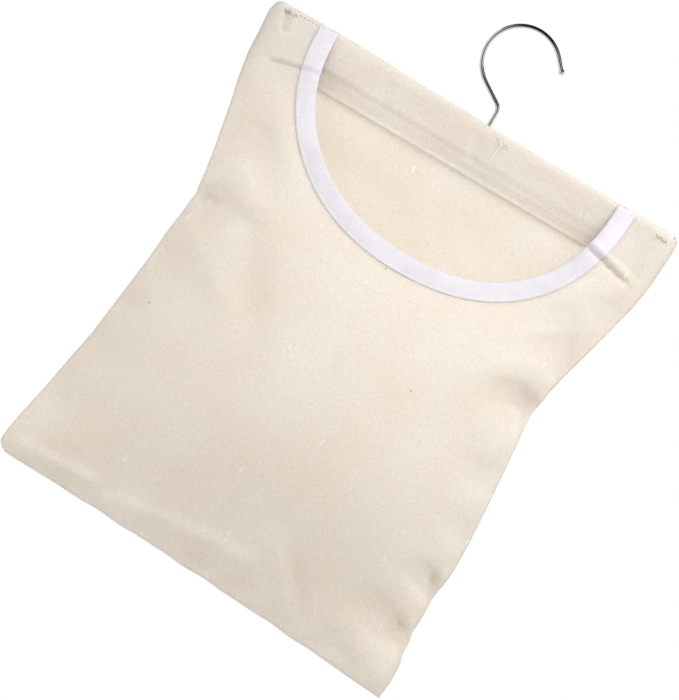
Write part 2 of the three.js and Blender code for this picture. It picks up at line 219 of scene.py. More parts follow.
def front_depth(x, drop):
    """How far the front panel's middle lies in front of the side seams, before it is simulated."""
    across = across_at(x, drop)
    leaves = smooth(drop, HEM_DROP, HEM_DROP + SHOULDER_EASE)
    over_sleeve = CLOTH + (SLEEVE_HALF + TAPE_CLEARANCE + TAPE) * np.sqrt(sleeve_fullness(x))
    pouch = FRONT_DEPTH * belly(across, drop) + edge_puff(across, drop)
    stands_off = SHOULDER_STAND * smooth(drop, *SHOULDER_STAND_BEGINS)
    stands_off = stands_off * (1 - smooth(drop, *SHOULDER_STAND_ENDS))
    stands_off = stands_off * np.exp(-(((np.abs(x) - SCOOP_HALF) / SHOULDER_STAND_REACH) ** 2))
    return GAP + CLOTH / 2 + lerp(over_sleeve * rolled_over(drop), pouch, leaves) + stands_off


def back_depth(across, drop):
    leaves = smooth(drop, HEM_DROP, HEM_DROP + SHOULDER_EASE)
    return CLOTH / 2 + (BACK_DEPTH * belly(across, drop) + edge_puff(across, drop)) * leaves


# The cloth: threads of a fixed length between grid points, pushed out by the filling and pinned at the seams

STEPS = 600
PUSH = 0.0006
BACK_PUSH = 0.0004
KEEP = 0.97
SHEAR = 0.12
STIFFNESS = 0.45
BEND_SPANS = (2, 4)
WARP, WEFT, SLANT = range(3)
TINY = 1e-9


def neighbour_pairs(rows, columns):
    """Groups of pairs (a, b, direction, span) of grid points; no two pairs in a group share a point."""
    index = np.arange(rows * columns).reshape(rows, columns)
    groups = []
    for direction, lines in ((WARP, index), (WEFT, index.T)):
        for span in (1,) + BEND_SPANS:
            first = np.arange(len(lines) - span)
            for turn in (0, 1):
                chosen = first[(first // span) % 2 == turn]
                groups.append((lines[chosen].ravel(), lines[chosen + span].ravel(), direction, span))
    for turn in (0, 1):
        upper = index[:-1][turn::2]
        lower = index[1:][turn::2]
        groups.append((upper[:, :-1].ravel(), lower[:, 1:].ravel(), SLANT, 1))
        groups.append((upper[:, 1:].ravel(), lower[:, :-1].ravel(), SLANT, 1))
    return groups


def settle(start, fullness, pinned, push):
    """The panel at rest, with threads as long as on the start grid plus their share of fullness."""
    shape = start.shape
    points = start.reshape(-1, 3).copy()
    extra = [f.ravel() for f in (fullness[WARP], fullness[WEFT], (fullness[WARP] + fullness[WEFT]) / 2)]
    free = np.where(pinned, 0.0, 1.0).ravel()
    threads = []
    for a, b, direction, span in neighbour_pairs(*shape[:2]):
        used = free[a] + free[b] > 0
        a, b = a[used], b[used]
        rest = np.linalg.norm(points[b] - points[a], axis=1) * (1 + extra[direction][a])
        share = (free[a] / (free[a] + free[b]))[:, None]
        threads.append((a, b, rest, share, direction, span))
    before = points.copy()
    free = free[:, None]
    push = push.reshape(-1, 1)
    for _ in range(STEPS):
        surface = points.reshape(shape)
        normal = np.cross(np.gradient(surface, axis=0), np.gradient(surface, axis=1)).reshape(-1, 3)
        normal /= np.linalg.norm(normal, axis=1, keepdims=True) + TINY
        moved = points + free * ((points - before) * KEEP + push * normal)
        before, points = points, moved
        for a, b, rest, share, direction, span in threads:
            apart = points[b] - points[a]
            length = np.sqrt((apart * apart).sum(1)) + TINY
            error = length - rest
            if direction == SLANT:
                error = error * SHEAR
            elif span > 1:
                error = np.minimum(error, 0) * STIFFNESS
            step = (error / length)[:, None] * apart
            points[a] += share * step
            points[b] -= (1 - share) * step
    return points.reshape(shape)


# Shape helpers

CREASE_BEGINS = (-0.1, 0.2)
CREASE_ENDS = (0.8, 1.1)
PATTERN = "pattern"


def run_length(points):
    """Length along a line of points, up to each of them."""
    return np.concatenate([[0], np.cumsum(np.linalg.norm(np.diff(points, axis=0), axis=1))])


def unit(vectors):
    return vectors / np.linalg.norm(vectors, axis=-1, keepdims=True)


def around(count):
    """Angles evenly round a full turn."""
    return np.linspace(0, 2 * np.pi, count, endpoint=False)


def circle(angle):
    return np.stack([np.cos(angle), np.sin(angle)], axis=1)


def upsample(values):
    """Twice as many rows and columns: a new point lies on the cubic through the four old ones about it."""
    for axis in (0, 1):
        lines = np.moveaxis(values, axis, 0)
        longer = np.concatenate([2 * lines[:1] - lines[1:2], lines, 2 * lines[-1:] - lines[-2:-1]])
        between = (9 * (longer[1:-2] + longer[2:-1]) - longer[:-3] - longer[3:]) / 16
        fine = np.empty((2 * len(lines) - 1,) + lines.shape[1:])
        fine[0::2] = lines
        fine[1::2] = between
        values = np.moveaxis(fine, 0, axis)
    return values


def crease(x, drop, start, end, depth, width):
    """Depth of a groove along a line from start to end, both (x, drop), that fades out at its ends."""
    run = np.subtract(end, start)
    length = np.hypot(*run)
    along = ((x - start[0]) * run[0] + (drop - start[1]) * run[1]) / length**2
    off = ((x - start[0]) * run[1] - (drop - start[1]) * run[0]) / length
    fade = smooth(along, *CREASE_BEGINS) * (1 - smooth(along, *CREASE_ENDS))
    return depth * fade * np.exp(-((off / width) ** 2))


def creases(x, drop, lines):
    return sum(crease(x, drop, *line) for line in lines)


def dent(x, drop, where, reach, depth):
    """Depth of a pucker by a seam: a long slope down to its deepest place, and a short one up again below."""
    wide, up, down = reach
    tall = np.where(drop < where[1], up, down)
    return depth * np.exp(-(((x - where[0]) / wide) ** 2) - ((drop - where[1]) / tall) ** 2)


def add(name, data):
    """A new object in the scene."""
    thing = bpy.data.objects.new(name, data)
    bpy.context.scene.collection.objects.link(thing)
    return thing


def add_mesh(name, points, faces, material):
    """A new mesh in the scene, from bag millimetres."""
    mesh = bpy.data.meshes.new(name)
    mesh.from_pydata(place(points).tolist(), [], faces)
    mesh.materials.append(material)
    return add(name, mesh)


def piece(name, points, faces, body, slot, material, nodes=()):
    """A smooth mesh piece from bag millimetres that rides on a body and stands for CAD nodes."""
    if body == "bag":
        points = raise_top(points)
    thing = add_mesh(name, points, faces, material)
    thing.data.validate()
    thing.data.shade_smooth()
    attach(thing, body)
    if nodes:
        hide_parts(*nodes)
    return thing


def grid_faces(rows, columns, closed=False):
    """Quads of a grid of points; a closed one joins its last column to its first."""
    index = np.arange(rows * columns).reshape(rows, columns)
    if closed:
        index = np.concatenate([index, index[:, :1]], axis=1)
    corners = (index[:-1, :-1], index[1:, :-1], index[1:, 1:], index[:-1, 1:])
    return np.stack([c.ravel() for c in corners], axis=1)


def tube_faces(rings, sides):
    """Faces of a closed tube of rings, with a cap at each end."""
    faces = grid_faces(rings, sides, closed=True).tolist()
    faces.append(list(range(sides)))
    faces.append(list(range((rings - 1) * sides, rings * sides))[::-1])
    return faces


def joined(parts):
    """Points and faces of one mesh from several (points, faces)."""
    points, faces = [], []
    first = 0
    for part_points, part_faces in parts:
        points.append(part_points)
        faces += [[k + first for k in face] for face in part_faces]
        first += len(part_points)
    return np.concatenate(points), faces


def cloth_piece(name, points, pattern, thickness, slot, material, nodes, shown=None):
    """A sheet of cloth from a grid of points, with its place in the cut cloth as a UV map in metres."""
    rows, columns = points.shape[:2]
    faces = grid_faces(rows, columns)
    if shown is not None:
        faces = faces[shown.ravel()]
    used = np.unique(faces)
    renumber = np.zeros(rows * columns, dtype=int)
    renumber[used] = np.arange(len(used))
    sheet = piece(name, points.reshape(-1, 3)[used], renumber[faces].tolist(), "bag", slot, material, nodes)
    layer = sheet.data.uv_layers.new(name=PATTERN)
    corners = np.empty(len(sheet.data.loops), dtype=np.int32)
    sheet.data.loops.foreach_get("vertex_index", corners)
    layer.uv.foreach_set("vector", (pattern.reshape(-1, 2)[used][corners] / 1000).ravel())
    solid = sheet.modifiers.new("thickness", "SOLIDIFY")
    solid.thickness = thickness / 1000
    solid.offset = 0
    return sheet


# Scoop mouth

SCOOP_SHIFT = 3.5
SCOOP_SAMPLES = 2000


def scoop_middle(drop):
    """The mouth's middle lies further right lower down."""
    return SCOOP_SHIFT * (drop - HEM_DROP).clip(0) / (WAIST_DROP - HEM_DROP)


def scoop_power(from_middle):
    return np.where(from_middle < 0, SCOOP_LEFT_FULLNESS, SCOOP_FULLNESS)


def scoop_edge(count):
    """Points (x, drop) evenly along the mouth's edge from the left, outward directions and lengths there."""
    angle = np.linspace(0, np.pi, SCOOP_SAMPLES)
    away = -np.cos(angle)
    power = 2 / scoop_power(away)
    drop = SCOOP_DROP * np.abs(np.sin(angle)) ** power
    x = scoop_middle(drop) + SCOOP_HALF * np.sign(away) * np.abs(away) ** power
    length = run_length(np.stack([x, drop], axis=1))
    even = np.linspace(0, length[-1], count)
    points = np.stack([np.interp(even, length, x), np.interp(even, length, drop)], axis=1)
    run = unit(np.gradient(points, axis=0))
    return points, np.stack([-run[:, 1], run[:, 0]], axis=1), even


def beyond_scoop(x, drop):
    """Distance outside the mouth's edge, measured from the middle of the mouth's top."""
    from_middle = x - scoop_middle(drop)
    power = scoop_power(from_middle)
    reach = ((np.abs(from_middle) / SCOOP_HALF) ** power + (drop / SCOOP_DROP) ** power) ** (1 / power)
    return np.hypot(from_middle, drop) * (1 - 1 / np.maximum(reach, TINY))


# Front and back panels

# Where cloth is eased in: place, reach, and extra length along the warp and along the weft
FRONT_FULLNESS = [
    ((-146, 147), (38, 26), 0.08, 0.05),
    ((138, 161), (30, 24), 0.07, 0.05),
    ((146, 325), (30, 40), 0.05, 0.0),
    ((-160, 250), (30, 70), 0.02, 0.0),
    ((130, 370), (60, 30), 0.02, 0.0),
]
BACK_FULLNESS = [
    ((-146, 150), (34, 26), 0.06, 0.04),
    ((138, 158), (34, 26), 0.06, 0.04),
    ((-170, 320), (30, 50), 0.03, 0.0),
    ((146, 300), (30, 60), 0.03, 0.0),
]
BOTTOM_FULLNESS = 0.018
BOTTOM_REACH = 30.0
BOTTOM_WAVE = 26.0
BOTTOM_EVEN = 0.6
BOTTOM_GATHERED = 0.4

# Creases: start and end as (x, drop), depth, which is negative for a ridge, and width
SHOULDER_CREASES = [
    ((-152, 38.4), (-107, 28.2), 2.2, 1.6),
    ((-152, 34.4), (-107, 24.2), -1.0, 2.2),
    ((106, 36.4), (152, 47.5), 3.0, 1.8),
    ((104, 31.8), (152, 42.9), -1.8, 2.4),
    ((-157, 1), (-152.5, 17), 2.4, 1.8),
]
SEAM_TUCKS = [
    ((-152, 149.5), (-124, 141), 3.0, 2.2),
    ((-150, 153), (-126, 148), -1.6, 2.4),
    ((136, 292), (142.5, 311), 3.0, 2.6),
    ((142, 287), (145, 304), -2.2, 2.6),
    ((132, 335), (145.5, 351), 3.2, 2.6),
    ((139, 330), (146, 344), -2.4, 2.6),
]
SEAM_DENT = ((130.0, 163.0), (8.0, 9.0, 3.0), 2.8)
FRONT_FOLDS = [
    ((-144, 142), (-92, 149), 2.6, 8.5),
    ((-108, 136), (-62, 216), 3.8, 13.0),
    ((-156, 156), (-92, 204), -2.2, 8.0),
    ((-172, 365), (-100, 360), -5.4, 4.8),
    ((-112, 359), (-84, 374), -4.2, 4.5),
    ((-92, 365), (-18, 355), -4.0, 6.0),
    ((-28, 355), (30, 354), -4.4, 6.5),
    ((-38, 369), (46, 371), 2.2, 4.0),
    ((28, 331), (67, 378), -4.0, 5.5),
    ((41, 329), (80, 374), 2.2, 5.5),
    ((88, 366), (124, 384), 1.6, 6.0),
    ((141, 352), (143, 386), -3.6, 8.0),
]
FRONT_TRIM = 4.0
SEAM_FADE = 7.0
FILLED_FROM = (50, 190)
FILLED_TO = (285, 355)


def fullness(x, drop, across, patches):
    """Extra thread length along the warp and the weft, eased in at the patches and along the bottom seam."""
    warp = sum(lump(x, drop, where, reach) * extra for where, reach, extra, _ in patches)
    weft = sum(lump(x, drop, where, reach) * extra for where, reach, _, extra in patches)
    rise = (full_drop(across) - drop) / BOTTOM_REACH
    gathers = BOTTOM_EVEN + BOTTOM_GATHERED * np.sin(x / BOTTOM_WAVE)
    return warp, weft + BOTTOM_FULLNESS * np.exp(-(rise**2)) * gathers


def filling(drop):
    """Where the pouch is pushed out: not at the mouth, and not at the flat bottom."""
    return smooth(drop, *FILLED_FROM) * (1 - smooth(drop, *FILLED_TO))


def settled(start, extra, pinned, push):
    return settle(start, extra, pinned, push)


def cut_places(across, drop):
    """Where each grid point lies in the cut cloth, in millimetres from its left top corner."""
    header = np.minimum(drop, HEM_DROP)
    body = np.maximum(drop - HEM_DROP, 0) / (full_drop(across) - HEM_DROP) * (CUT_LENGTH - HEM_DROP)
    return np.stack([(1 + across) / 2 * CUT_WIDTH, header + body], axis=-1)


def at_seam(across, drop):
    return (np.abs(across) == 1) | (drop >= full_drop(across) - TINY)


def make_front(material):
    across, drop, x = grid()
    seam = at_seam(across, drop)
    depth = np.where(seam, GAP + CLOTH / 2, front_depth(x, drop))
    start = np.stack([x, -depth, -drop], axis=-1)
    pinned = seam | (beyond_scoop(x, drop) < TAPE_LEAF) | (drop <= HEM_DROP)
    points = upsample(settled(start, fullness(x, drop, across, FRONT_FULLNESS), pinned, PUSH * filling(drop)))
    fine_across, fine_drop = upsample(across), upsample(drop)
    inside = smooth(full_drop(fine_across) - fine_drop, 0, SEAM_FADE)
    inside *= smooth((1 - np.abs(fine_across)) * TOP_HALF, 0, SEAM_FADE)
    at = points[..., 0], -points[..., 2]
    points[..., 1] += creases(*at, FRONT_FOLDS) * inside
    points[..., 1] += creases(*at, SEAM_TUCKS + SHOULDER_CREASES)
    points[..., 1] += dent(*at, *SEAM_DENT)
    points[..., 1] = np.minimum(points[..., 1], -(GAP + CLOTH / 2))
    middle = (points[:-1, :-1] + points[1:, 1:]) / 2
    shown = beyond_scoop(middle[..., 0], -middle[..., 2]) > FRONT_TRIM
    pattern = upsample(cut_places(across, drop))
    front = cloth_piece("front_calico", points, pattern, CLOTH, "calico", material, ["front_panel"], shown)


SLEEVE_ROWS = 22
SLEEVE_ARC_ROWS = 15
SLEEVE_MIDDLE = SLEEVE_HALF + CLOTH / 2
SLEEVE_SHUT = 0.42
SLEEVE_BACK_SHUT = 0.08
BELOW_BAR_LEFT = 0.72
BELOW_BAR_RIGHT = 0.82
TUCK_TOP = BAR_DROP - 3.1
TUCK_LEFT_HEIGHT = 6.2
TUCK_RIGHT_HEIGHT = 7.5
SLEEVE_SPARE = 0.45
SLACK_SHARE = 0.3
HEM_EDGE = 0.55
HEM_EDGE_RISE = 0.9
HEM_EDGE_REACH = 1.8
SOFTER_RIGHTWARD = (-90, 70)
BROAD_SLACK = 0.4
BROAD_ACROSS = 17.0
BROAD_DOWN = 9.0
BROAD_START = 1.0
FINE_SLACK = 0.22
FINE_ACROSS = 7.3
FINE_DOWN = 5.0
SLEEVE_CREASES = [
    ((8, 8), (9.5, 28), 0.9, 3.5),
    ((-68, 9), (-64, 26), 0.6, 4.5),
    ((-122, 3.4), (64, 3.2), 0.45, 0.8),
]


def sleeve_share(x, drop, shut):
    """Share of the sleeve's half thickness: a step below the bar, then an even run to the hem."""
    rightward = smooth(x, *SOFTER_RIGHTWARD)
    below = lerp(BELOW_BAR_LEFT, BELOW_BAR_RIGHT, rightward)
    bottom = TUCK_TOP + lerp(TUCK_LEFT_HEIGHT, TUCK_RIGHT_HEIGHT, rightward)
    run = np.clip((drop - bottom) / (HEM_DROP - bottom), 0, 1)
    return lerp(1, below, smooth(drop, TUCK_TOP, bottom)) - (below - shut) * run


def sleeve_profile():
    """Rows of the sleeve as (side, drop), from the hem over the top to the back; side -1 is the front."""
    down = np.linspace(ROLL, HEM_DROP, SLEEVE_ROWS)
    angle = np.linspace(0, np.pi, SLEEVE_ARC_ROWS)[1:-1]
    power = 2 / ROLL_FULLNESS
    front = np.stack([-np.ones(SLEEVE_ROWS), down], axis=1)[::-1]
    top_side = -np.sign(np.cos(angle)) * np.abs(np.cos(angle)) ** power
    top = np.stack([top_side, lerp(ROLL, CLOTH / 2, np.sin(angle) ** power)], axis=1)
    back = np.stack([np.ones(SLEEVE_ROWS), down], axis=1)
    return np.concatenate([front, top, back[:-1]])


def sleeve_slack(x, drop):
    """The sleeve is a little loose on the bar, and its hem is thicker."""
    slack = BROAD_SLACK * np.sin(x / BROAD_ACROSS + BROAD_START) * np.sin(drop / BROAD_DOWN)
    slack = slack + FINE_SLACK * np.sin(x / FINE_ACROSS + drop / FINE_DOWN)
    slack = slack - creases(x, drop, SLEEVE_CREASES) + SLEEVE_SPARE * (1 - smooth(drop, BAR_DROP, HEM_DROP))
    hem = HEM_EDGE * np.exp(-(((HEM_DROP - drop - HEM_EDGE_RISE) / HEM_EDGE_REACH) ** 2))
    return (slack + hem) * sleeve_fullness(x)


def sleeve_half(x):
    return lerp(CLOTH / 2, SLEEVE_MIDDLE, np.sqrt(sleeve_fullness(x)))


def sleeve_front(x, drop):
    """Depth of the sleeve's front in front of the side seams."""
    return sleeve_half(x) * sleeve_share(x, drop, SLEEVE_SHUT) * rolled_over(drop) + sleeve_slack(x, drop)


def sleeve_grid():
    profile = sleeve_profile()
    across = np.linspace(-1, 1, COLUMNS + 1)
    facing, across = np.meshgrid(profile[:, 0], across, indexing="ij")
    drop = np.repeat(profile[:, 1:], COLUMNS + 1, axis=1)
    x = x_at(across, drop)
    shut = np.where(facing < 0, SLEEVE_SHUT, SLEEVE_BACK_SHUT)
    loose = sleeve_slack(x, drop) * np.clip(-facing / SLACK_SHARE, 0, 1)
    y = facing * sleeve_half(x) * sleeve_share(x, drop, shut) - loose
    return np.stack([x, y, -drop], axis=-1), across


def make_back(material):
    across, drop, x = grid()
    across, drop, x = across[HEADER_ROWS:], drop[HEADER_ROWS:], x[HEADER_ROWS:]
    seam = at_seam(across, drop)
    depth = np.where(seam, CLOTH / 2, back_depth(across, drop))
    start = np.stack([x, depth, -drop], axis=-1)
    pinned = seam | (drop <= HEM_DROP)
    body = settled(start, fullness(x, drop, across, BACK_FULLNESS), pinned, -BACK_PUSH * filling(drop))
    sleeve, sleeve_across = sleeve_grid()
    points = np.concatenate([sleeve, body])
    wrapped = run_length(sleeve[:, COLUMNS // 2])
    sleeve_length = wrapped[-1] + np.linalg.norm(body[0, COLUMNS // 2] - sleeve[-1, COLUMNS // 2])
    sleeve_places = np.stack([(1 + sleeve_across) / 2 * CUT_WIDTH,
                              np.repeat(wrapped[:, None], COLUMNS + 1, axis=1)], axis=-1)
    body_places = cut_places(across, drop) + np.array([0, sleeve_length - HEM_DROP])
    pattern = np.concatenate([sleeve_places, body_places]) + np.array([0, BOLT_STEP])
    points, pattern = upsample(points), upsample(pattern)
    back = cloth_piece("back_calico", points, pattern, CLOTH, "calico", material, ["back_panel"])


# Binding of the mouth

TAPE_STATIONS = 190
TAPE_PUFF = 0.4
TAPE_EASE = 0.15
TAPE_LIFT = (CLOTH + TAPE) / 2 + TAPE_EASE
RIPPLE = 0.5
RIPPLE_SHORT = 5.1
RIPPLE_LONG = 13.7
RIPPLE_START = 0.6
TAPE_STITCH_INSET = 2.0
# Across the tape: distance outside the mouth's edge, and side of the cloth, 1 in front and -1 behind
TAPE_SECTION = [
    (TAPE_LEAF, 1), (12.2, 1), (10.6, 1), (8.4, 1), (6.0, 1), (3.6, 1), (1.4, 1), (0.0, 0.95), (-0.6, 0.65),
    (-TAPE_FOLD, 0), (-0.6, -0.65), (0.0, -0.95), (1.4, -1), (3.6, -1), (6.0, -1), (8.4, -1), (TAPE_LEAF, -1),
]


def make_tape(material):
    edge, outward, along = scoop_edge(TAPE_STATIONS)
    inset, leaf = np.array(TAPE_SECTION).T
    x = edge[:, :1] + outward[:, :1] * inset
    drop = np.maximum(edge[:, 1:] + outward[:, 1:] * inset, 0)
    stitched = TAPE_LEAF - TAPE_STITCH_INSET
    puff = np.sin(np.pi * np.clip(inset / stitched, 0, 1)) * (leaf > 0)
    ripple = np.sin(along / RIPPLE_SHORT) * np.sin(along / RIPPLE_LONG + RIPPLE_START)
    ripple = 1 + RIPPLE * ripple[:, None]
    lift = leaf * TAPE_LIFT + TAPE_PUFF * puff * ripple
    depth = front_depth(x, drop) - creases(x, drop, SHOULDER_CREASES)
    points = np.stack([x, -(depth + lift), -drop], axis=-1)
    width = run_length(inset[:, None])
    pattern = np.stack([np.repeat(along[:, None], len(inset), axis=1),
                        np.repeat(width[None], len(along), axis=0)], axis=-1)
    tape = cloth_piece("binding", points, pattern, TAPE, "binding_tape", material, ["scoop_binding"])


# Stitches: short rounded runs of thread that dip into the cloth at both ends

THREAD_RADIUS = 0.3
STITCH_PITCH = 2.8
STITCH_SHARE = 0.8
STITCH_RINGS = 7
STITCH_SIDES = 8
STITCH_BLUNTNESS = 4
STITCH_END = 0.03
STITCH_ARCH = 0.5
SLOPE_STEP = 0.5
FORWARDS = (0.0, -1.0, 0.0)


def stitch_mesh(starts, ends, outward, radius):
    """Points and faces of one rounded run of thread for each start and end."""
    angle = around(STITCH_SIDES)
    station = np.linspace(-1, 1, STITCH_RINGS)
    girth = np.sqrt(np.maximum(1 - np.abs(station) ** STITCH_BLUNTNESS, STITCH_END))
    faces = tube_faces(STITCH_RINGS, STITCH_SIDES)
    parts = []
    for start, end, up in zip(starts, ends, outward):
        run = end - start
        length = np.linalg.norm(run)
        run = run / length
        across = np.cross(run, up)
        middle = (start + end) / 2
        arch = (STITCH_ARCH - station[:, None] ** 2) * radius * up
        line = middle + station[:, None] * run * length / 2 + arch
        ring = np.cos(angle)[:, None] * up + np.sin(angle)[:, None] * across
        body = line[:, None] + girth[:, None, None] * radius * ring
        parts.append((body.reshape(-1, 3), faces))
    return joined(parts)


def row_stitches(line, outward):
    """Starts, ends and outward directions of stitches along a line of points on the cloth."""
    length = run_length(line)
    count = int(length[-1] / STITCH_PITCH)
    begin = (np.arange(count) + (1 - STITCH_SHARE) / 2) * length[-1] / count
    end = begin + STITCH_SHARE * length[-1] / count

    def at(distance, values):
        return np.stack([np.interp(distance, length, values[:, k]) for k in range(3)], axis=1)

    return at(begin, line), at(end, line), unit(at((begin + end) / 2, outward))


def stitch_rows(name, rows, material, nodes=(), radius=THREAD_RADIUS):
    """A piece of rows of stitches, each given as starts, ends and outward directions."""
    mesh = stitch_mesh(*(np.concatenate(part) for part in zip(*rows)), radius)
    piece(name, *mesh, "bag", "thread", material, nodes)


def sleeve_line(x, drop, lift=0.0):
    """Points on the sleeve's front or lifted off it, and forward directions."""
    drop = np.broadcast_to(drop, x.shape)
    points = np.stack([x, -(sleeve_front(x, drop) + CLOTH / 2 + lift), -drop], axis=-1)
    return points, np.tile(FORWARDS, (len(x), 1))


def front_line(x, drop, lift):
    """Points lifted off the front panel's middle, and the directions straight out of it."""
    drop = np.broadcast_to(drop, x.shape)

    def depth(a, b):
        return front_depth(a, b) - creases(a, b, SHOULDER_CREASES)

    step = SLOPE_STEP
    slope_x = (depth(x + step, drop) - depth(x - step, drop)) / (2 * step)
    slope_drop = (depth(x, drop + step) - depth(x, np.maximum(drop - step, 0))) / (2 * step)
    outward = unit(np.stack([slope_x, -np.ones_like(x), -slope_drop], axis=-1))
    points = np.stack([x, -depth(x, drop), -drop], axis=-1)
    return points + lift * outward, outward


SIDES = (("left", -1), ("right", 1))
STITCH_MARGIN = 1.0
SHORT_POINTS = 6
HEM_STITCH_RISE = 1.8
HEM_STITCH_HALF = 157.0
HEM_POINTS = 160
BACKTACK = (3.5, 15.5)
BACKTACK_RISES = (2.7, 3.6)
SHOULDER_STITCH_DROP = 36.0
SHOULDER_STITCH_INSET = 4.0
SHOULDER_POINTS = 20
TOP_STITCH_DROP = 2.4
TOP_RUN_SIDE = "left"
TOP_POINTS = 12
TACK_PLACES = {"left": (-153.5, 4.2), "right": (155.0, 6.6)}
TACK_LENGTH = 10.0
TACK_WIDTH = 2.4
TACK_STITCHES = 10
TACK_WANDER = 0.55
TACK_SEED = 5
LAID_APART = 1.0
LOOSE_THREADS = [
    [(16.7, 3.2), (20.5, 4.6), (23.0, 7.0), (22.4, 12.5), (21.6, 19.3)],
    [(26.6, 4.0), (24.6, 5.2), (23.0, 7.4), (24.6, 8.4), (27.6, 7.4), (28.2, 6.0), (26.8, 5.6)],
]
LOOSE_RADIUS = 0.45
LOOSE_LIFT = 0.35
LOOSE_POINTS = 4
LOOSE_OVERLAP = 0.2


def make_stitching(material):
    edge, outward, _ = scoop_edge(TAPE_STATIONS)
    row = edge + outward * (TAPE_LEAF - TAPE_STITCH_INSET)
    on_tape = front_line(row[:, 0], np.maximum(row[:, 1], 0), TAPE_LIFT + TAPE / 2)
    stitch_rows("binding_stitches", [row_stitches(*on_tape)], material, ["binding_stitching"])

    x = np.linspace(-HEM_STITCH_HALF, HEM_STITCH_HALF, HEM_POINTS)
    rows = [row_stitches(*sleeve_line(x, HEM_DROP - HEM_STITCH_RISE))]
    for rise in BACKTACK_RISES:
        rows.append(row_stitches(*sleeve_line(np.linspace(*BACKTACK, SHORT_POINTS), HEM_DROP - rise)))
    stitch_rows("hem_stitches", rows, material, ["hem_stitching"])

    shoulder = (SCOOP_HALF + TAPE_LEAF + STITCH_MARGIN, TOP_HALF - SHOULDER_STITCH_INSET)
    for name, sign in SIDES:
        x = sign * np.linspace(*shoulder, SHOULDER_POINTS)
        row = row_stitches(*front_line(x, SHOULDER_STITCH_DROP, CLOTH / 2))
        stitch_rows(f"{name}_shoulder_stitches", [row], material, [f"{name}_shoulder_stitching"])


def make_tack(name, sign, material):
    """Close zigzag stitches over two laid threads at a top corner, and dashes over the tape beside it."""
    wander = np.random.default_rng(TACK_SEED + sign).normal(0, TACK_WANDER, (2, TACK_STITCHES))
    reach = np.linspace(-TACK_LENGTH / 2, TACK_LENGTH / 2, TACK_STITCHES) + wander[0]
    zig = TACK_WIDTH / 2 * np.where(np.arange(TACK_STITCHES) % 2, 1, -1) + wander[1]
    middle_x, middle_drop = TACK_PLACES[name]
    x = middle_x + np.concatenate([reach, [-TACK_LENGTH / 2, TACK_LENGTH / 2] * 2])
    drop = middle_drop + np.concatenate([zig, np.repeat([-LAID_APART / 2, LAID_APART / 2], 2)])
    points, outward = front_line(x, drop, CLOTH / 2)
    starts = np.concatenate([points[: TACK_STITCHES - 1], points[TACK_STITCHES::2]])
    ends = np.concatenate([points[1:TACK_STITCHES], points[TACK_STITCHES + 1 :: 2]])
    ups = np.concatenate([outward[: TACK_STITCHES - 1], outward[TACK_STITCHES::2]])
    off_tape = SCOOP_HALF + TAPE_LEAF
    over_tape = sign * np.linspace(SCOOP_HALF + STITCH_MARGIN, off_tape - STITCH_MARGIN, SHORT_POINTS)
    dashes = front_line(over_tape, TOP_STITCH_DROP, TAPE_LIFT + TAPE / 2)
    rows = [(starts, ends, ups), row_stitches(*dashes)]
    if name == TOP_RUN_SIDE:
        run = sign * np.linspace(off_tape + STITCH_MARGIN, sign * middle_x - TACK_LENGTH / 2, TOP_POINTS)
        rows.append(row_stitches(*front_line(run, TOP_STITCH_DROP, CLOTH / 2)))
    stitch_rows(f"{name}_tack", rows, material, [f"{name}_corner_tack"])


def make_loose_threads(material):
    """Thread ends that lie on the sleeve beside the hook."""
    rows = []
    for line in LOOSE_THREADS:
        fine = np.linspace(0, len(line) - 1, LOOSE_POINTS * len(line))
        x, drop = (np.interp(fine, range(len(line)), values) for values in zip(*line))
        points, outward = sleeve_line(x, drop, LOOSE_LIFT)
        overlap = np.diff(points, axis=0) * LOOSE_OVERLAP
        rows.append((points[:-1] - overlap, points[1:] + overlap, outward[1:]))
    stitch_rows("loose_threads", rows, material, radius=LOOSE_RADIUS)


# Hook: one run of wire with a ball at its tip and a peened head under the washer

WIRE = 3.2
WIRE_SIDES = 24
NECK_RISE = 15.3
NECK_RADIUS = 7.0
NECK_SLANT = math.radians(33)
NECK_LENGTH = 21.0
LOOP_RADIUS = 27.8
TIP_ANGLE = math.radians(41)
TIP_LENGTH = 10.5
BALL = 4.6
HEAD = 6.0
HEAD_HEIGHT = 2.2
HEAD_TOP = -19.7
HEAD_PROFILE = [
    (-HEAD_HEIGHT, 0.3 * HEAD), (-0.6 * HEAD_HEIGHT, 0.46 * HEAD), (-0.3, HEAD / 2), (0, 0.48 * HEAD),
]
BALL_POLE = 0.08
BALL_RINGS = 13
STEM_POINTS = 8
BEND_POINTS = 14
LOOP_POINTS = 90
TIP_POINTS = 6


